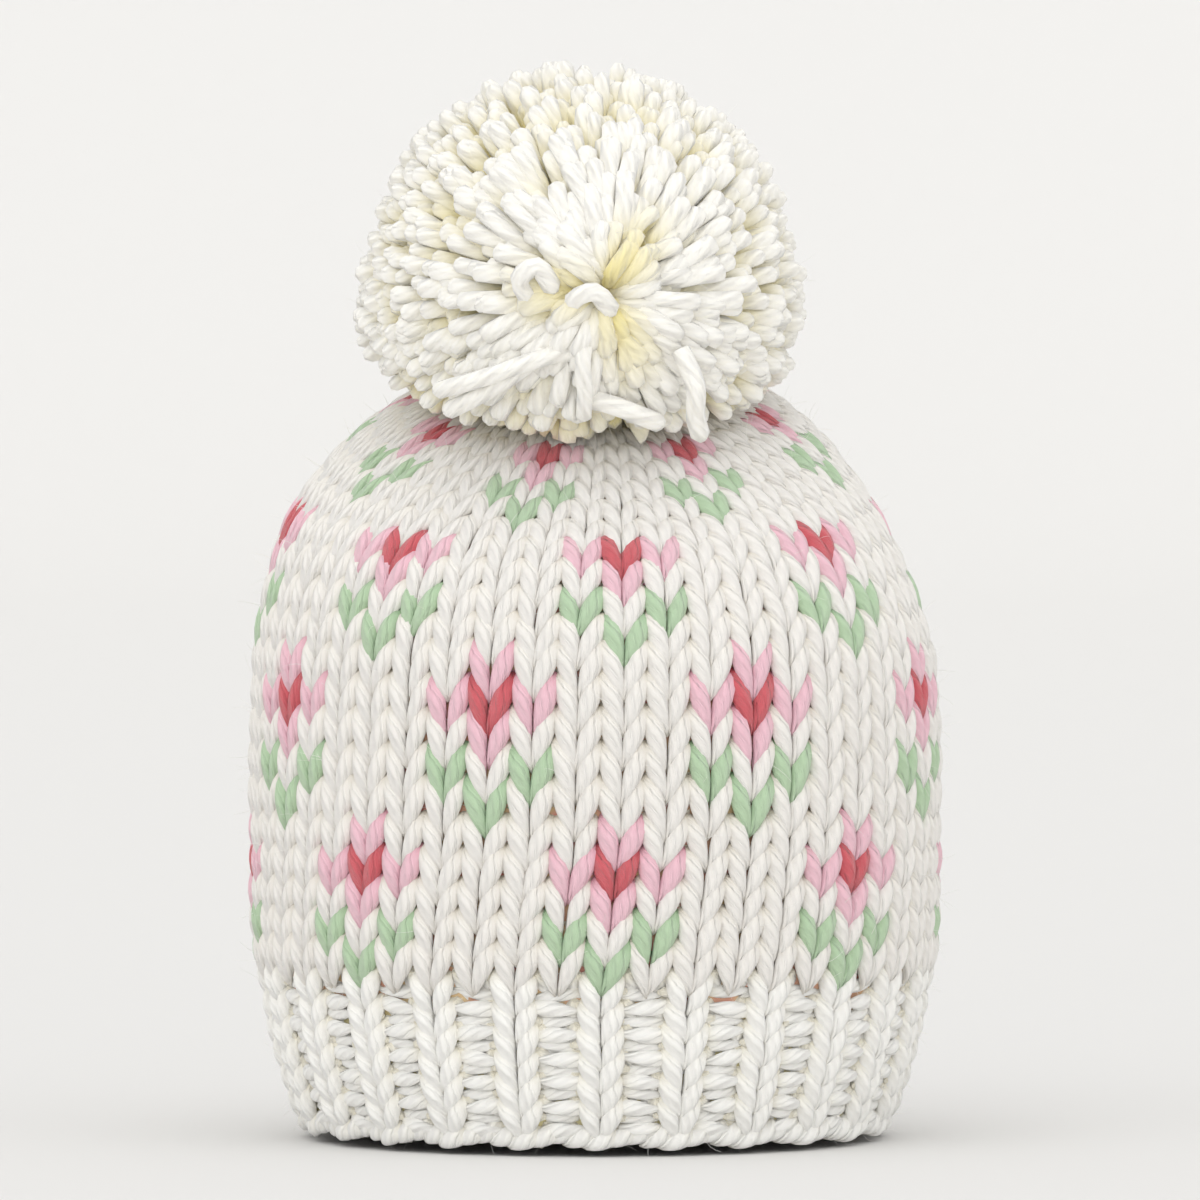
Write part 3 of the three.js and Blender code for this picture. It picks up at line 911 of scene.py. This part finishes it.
def makePompom():
    luck = np.random.default_rng(7)
    count = pompom["strands"]
    k = np.arange(count)
    front = 1 - (2 * k + 1) / count + luck.normal(0, pompom["frontStray"], count)
    front = np.clip(front, -pompom["frontLimit"], pompom["frontLimit"])
    goldenTurn = math.pi * (3 - math.sqrt(5))  # spreads the strands evenly
    turn = k * goldenTurn + luck.normal(0, pompom["turnStray"], count)
    sweep = np.stack([np.cos(turn), np.zeros(count), np.sin(turn)], -1)
    aim = sweep * np.sqrt(1 - front**2)[:, None] + np.array([0, -1, 0]) * front[:, None]
    end = pompomForm(aim) - aim * luck.uniform(0, pompom["uneven"], count)[:, None]
    ahead = end * [0, 1, 0]
    across = end * [1, 0, 1]
    root = ahead * pompom["root"][0] + across * pompom["root"][1]
    bend = ahead * pompom["bend"][0] + across * pompom["bend"][1]
    bend += luck.normal(0, pompom["stray"], (count, 3))
    t = np.array(pompom["stations"])[None, :, None]
    course = root[:, None] * (1 - t)**2 + 2 * bend[:, None] * t * (1 - t) + end[:, None] * t**2
    depth = pompomShade(course)
    c, s = math.cos(pompom["turned"]), math.sin(pompom["turned"])
    course = course @ np.array([[c, s, 0], [-s, c, 0], [0, 0, 1]])
    clear = pompom["strandRadius"] * luck.uniform(*pompom["clear"], (count, 1))
    path = seatOnCrown(course + pompomMiddle, clear)
    thick = pompom["strandRadius"] * luck.uniform(*pompom["radii"], (count, 1)) * np.array(pompom["profile"])
    thick *= 1 + luck.normal(0, pompom["radiusStray"], thick.shape)
    paths = [(path[k], thick[k], depth[k]) for k in range(count)]
    for points, radius in pompom["loose"]:
        line = smoothRows(points, pompom["looseSteps"]) * mm
        cutEnd = line[-1] + unit(line[-1] - line[-2]) * radius * mm * pompom["cutRound"]
        widths = np.full(len(line) + 1, radius * mm)
        widths[-1] *= pompom["profile"][-1]
        paths.append((np.vstack([line, cutEnd]), widths, np.zeros(len(line) + 1)))
    mesh = pathMesh("pompom_strands", paths)
    piece = grow("pompom_strands", mesh, strandTree, {"Yarn": pompomYarn, "Sides": 6})
    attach(piece, "root")
    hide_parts("pompom")


makePompom()


def makePompomCore():  # the tightly tied middle of the ball, which closes the view between the strands
    bpy.ops.mesh.primitive_ico_sphere_add(subdivisions=4, radius=1)
    core = bpy.context.object
    core.name = core.data.name = "pompom_core"
    aim = np.zeros(len(core.data.vertices) * 3, np.float32)
    core.data.vertices.foreach_get("co", aim)
    aim = unit(aim.reshape(-1, 3).astype(float))
    places = seatOnCrown(pompomForm(aim) * pompom["core"] + pompomMiddle, pompom["coreClear"])
    core.data.vertices.foreach_set("co", places.astype(np.float32).ravel())
    core.data.shade_smooth()
    # its pale yellow is painted shade in the gaps between the strands
    core.data.materials.append(coreYarn)
    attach(core, "root")
    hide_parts("pompom")


# The tie: a yarn end through the drawn-in crown, with its knot underneath
tie = {
    "radius": 1.5 * mm,
    "knot": 3.4 * mm / 2.2,  # a trefoil, three of these in radius
    "lobes": 3,
    "points": 40,
    "knotRise": 4 * mm,  # above the CAD tie's foot, and how far the cord stays under its top
    "cordDrop": 2 * mm,
    "cordPoints": 6,
    "ends": [(9, -3, -13), (-8, 4, -15)],  # x, y, z in mm from the knot
    "endPoints": 9,
    "endBend": (0.7, 1, 0.25),
    "depth": 0.3,  # share of painted shade in its colour
}


def makeTie():
    low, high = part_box("pompom_tie")
    middle = np.array([(low.x + high.x) / 2, (low.y + high.y) / 2, low.z + tie["knotRise"]])
    top = [middle[0], middle[1], high.z - tie["cordDrop"]]
    turn = np.linspace(0, 2 * math.pi, tie["points"])
    ring = 2 + np.cos(tie["lobes"] * turn)
    knot = np.stack([ring * np.cos(2 * turn), ring * np.sin(2 * turn), np.sin(tie["lobes"] * turn)], -1)
    paths = [middle + knot * tie["knot"], np.linspace(middle, top, tie["cordPoints"])]
    for end in np.array(tie["ends"]) * mm:
        paths.append(smoothRows([middle, middle + end * tie["endBend"], middle + end], tie["endPoints"]))
    mesh = pathMesh("tie_knot", [
        (path, np.full(len(path), tie["radius"]), np.full(len(path), tie["depth"])) for path in paths])
    piece = grow("tie_knot", mesh, strandTree, {"Yarn": pompomYarn, "Sides": 8})
    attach(piece, "root")
    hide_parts("pompom_tie")


makeTie()
makePompomCore()
print("pompom tied")

# Loose fibres that stand off the spun yarn and soften its outline, drawn thicker than they are to show
fuzz = {"Fibre Length": 4.5 * mm, "Fibre Radius": 0.045 * mm, "Curl": 1.8 * mm, "Seed": 9}
fuzzShape = {
    "points": 4,
    "bow": 1.8,
    "taper": -0.6,
    "lengths": (0.35, 1.2),
    "lean": 1.0,  # radians
    "spin": 6.28,
    "lowest": 0.1 * mm,
}
fuzzOf = {  # the piece and the yarn that the fibres grow from, their number on a square metre, and the slot
    "brim_fuzz": ("ribbed_brim", litRibYarn, 13000.0, "rib_yarn"),
    "body_fuzz": ("knitted_body", creamYarn, 21000.0, "body_yarn"),
    "crown_fuzz": ("knitted_crown", creamYarn, 17000.0, "crown_yarn"),
    "pompom_fuzz": ("pompom_strands", pompomYarn, 5000.0, "pompom_yarn"),
}


def buildFuzzTree():
    tree, given, result = newTree("loose_fibres", [
        ("Density", "Float", 20000.0), ("Fibre Length", "Float", 4 * mm),
        ("Fibre Radius", "Float", 0.03 * mm), ("Curl", "Float", 1.5 * mm), ("Seed", "Int", 1),
        ("Yarn", "Material", None), ("Rooted In", "Material", None),
    ])
    rooted = addNode(tree, "GeometryNodeMaterialSelection", inputs={"Material": given["Rooted In"]})
    roots = addNode(tree, "GeometryNodeDistributePointsOnFaces", inputs={
        "Mesh": given["Geometry"], "Selection": rooted, "Density": given["Density"],
        "Seed": given["Seed"]}).outputs
    tip = addNode(tree, "ShaderNodeCombineXYZ", inputs={2: given["Fibre Length"]})
    line = addNode(tree, "GeometryNodeCurvePrimitiveLine", inputs={"End": tip})
    rings = addNode(tree, "GeometryNodeResampleCurve", inputs={"Curve": line, "Count": fuzzShape["points"]})
    factor = addNode(tree, "GeometryNodeSplineParameter").outputs["Factor"]
    side = calc(tree, "MULTIPLY", calc(tree, "POWER", factor, fuzzShape["bow"]), given["Curl"])
    shift = addNode(tree, "ShaderNodeCombineXYZ", inputs={0: side})
    bent = addNode(tree, "GeometryNodeSetPosition", inputs={"Geometry": rings, "Offset": shift})
    taper = calc(tree, "MULTIPLY_ADD", factor, fuzzShape["taper"], 1.0)
    circle = addNode(tree, "GeometryNodeCurvePrimitiveCircle", inputs={"Resolution": 3, "Radius": 1.0})
    fibre = addNode(tree, "GeometryNodeCurveToMesh", inputs={
        "Curve": bent, "Profile Curve": circle,
        "Scale": calc(tree, "MULTIPLY", taper, given["Fibre Radius"]), "Fill Caps": True})
    shortest, longest = fuzzShape["lengths"]
    length = addNode(tree, "FunctionNodeRandomValue", {"data_type": "FLOAT"}, {
        2: shortest, 3: longest, "Seed": given["Seed"]}).outputs[1]
    placed = addNode(tree, "GeometryNodeInstanceOnPoints", inputs={
        "Points": roots["Points"], "Instance": fibre, "Rotation": roots["Rotation"], "Scale": length})
    lean = fuzzShape["lean"]
    swing = addNode(tree, "FunctionNodeRandomValue", {"data_type": "FLOAT_VECTOR"}, {
        0: (-lean, -lean, 0.0), 1: (lean, lean, fuzzShape["spin"]), "Seed": given["Seed"]})
    strewn = addNode(tree, "GeometryNodeRotateInstances", inputs={"Instances": placed, "Rotation": swing})
    made = addNode(tree, "GeometryNodeRealizeInstances", inputs={"Geometry": strewn})
    painted = addNode(tree, "GeometryNodeSetMaterial", inputs={"Geometry": made, "Material": given["Yarn"]})
    fill(tree, result, {"Geometry": painted})
    return tree


fuzzTree = buildFuzzTree()


def raiseFuzz(name, source, yarn, density, slot):
    piece = grow(name, bpy.data.objects[source].data.copy(), fuzzTree,
                 {**fuzz, "Density": density, "Yarn": fibreYarn, "Rooted In": yarn})
    places = np.zeros(len(piece.data.vertices) * 3, np.float32)
    piece.data.vertices.foreach_get("co", places)
    places[2::3] = np.maximum(places[2::3], fuzzShape["lowest"])  # fibres at the rim bend up from the floor
    piece.data.vertices.foreach_set("co", places)
    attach(piece, "root")


for name, growth in fuzzOf.items():
    raiseFuzz(name, *growth)
print("fibres raised")

# A paper floor that curves up into a wall behind the hat, open at the front where the light comes in
studio = {
    "floorRadius": 4.2,
    "curve": 1.5,
    "wall": 2.5,
    "turns": 96,
    "steps": 16,
    "paper": "#E3E2E0",  # matt paper, so no shine or edge shows behind the hat
    "roughness": 0.9,
    "room": 0.83,  # white light from all round
}
# Soft lights: heading from the front to the right and height, in degrees, strength, and width in degrees
lights = {
    "window_left": (-35, 30, 0.32, 50),
    "window_right": (40, 18, 0.2, 60),
    "low_bounce": (0, 6, 0.42, 40),
    "ceiling": (0, 80, 0.58, 60),
}


def addStudio():
    turns, steps = studio["turns"], studio["steps"]
    line = [(studio["floorRadius"], 0.0)]
    for k in range(1, steps + 1):
        a = math.pi / 2 * k / steps
        rise = studio["curve"] * (1 - math.cos(a))
        line.append((studio["floorRadius"] + studio["curve"] * math.sin(a), rise))
    line.append((studio["floorRadius"] + studio["curve"], studio["curve"] + studio["wall"]))
    angles = [2 * math.pi * t / turns for t in range(turns)]
    verts = [(r * math.cos(a), r * math.sin(a), z) for r, z in line for a in angles]
    verts.append((0, 0, 0))
    faces = [(len(verts) - 1, t, (t + 1) % turns) for t in range(turns)]
    for k in range(len(line) - 1):
        for t in range(turns // 2):  # only the half behind the hat rises
            a, b = k * turns + t, k * turns + t + 1
            faces.append((a, a + turns, b + turns, b))
    mesh = bpy.data.meshes.new("paper_sweep")
    mesh.from_pydata(verts, [], faces)
    mesh.shade_smooth()
    sweep = addThing("paper_sweep", mesh)
    paper, tree, shader = newMaterial("matt_paper")
    fill(tree, shader, {"Base Color": linear(studio["paper"]), "Roughness": studio["roughness"]})
    mesh.materials.append(paper)


def addLight(name, heading, height, strength, softness):
    data = bpy.data.lights.new(name, "SUN")
    data.energy = strength
    data.angle = math.radians(softness)
    addThing(name, data).rotation_euler = (math.radians(90 - height), 0, math.radians(heading))


addStudio()
for name, light in lights.items():
    addLight(name, *light)
world = bpy.data.worlds.new("soft_room")
world.use_nodes = True
fill(world.node_tree, world.node_tree.nodes["Background"], {
    "Color": (1, 1, 1, 1), "Strength": studio["room"]})
scene.world = world
scene.view_settings.view_transform = "Standard"
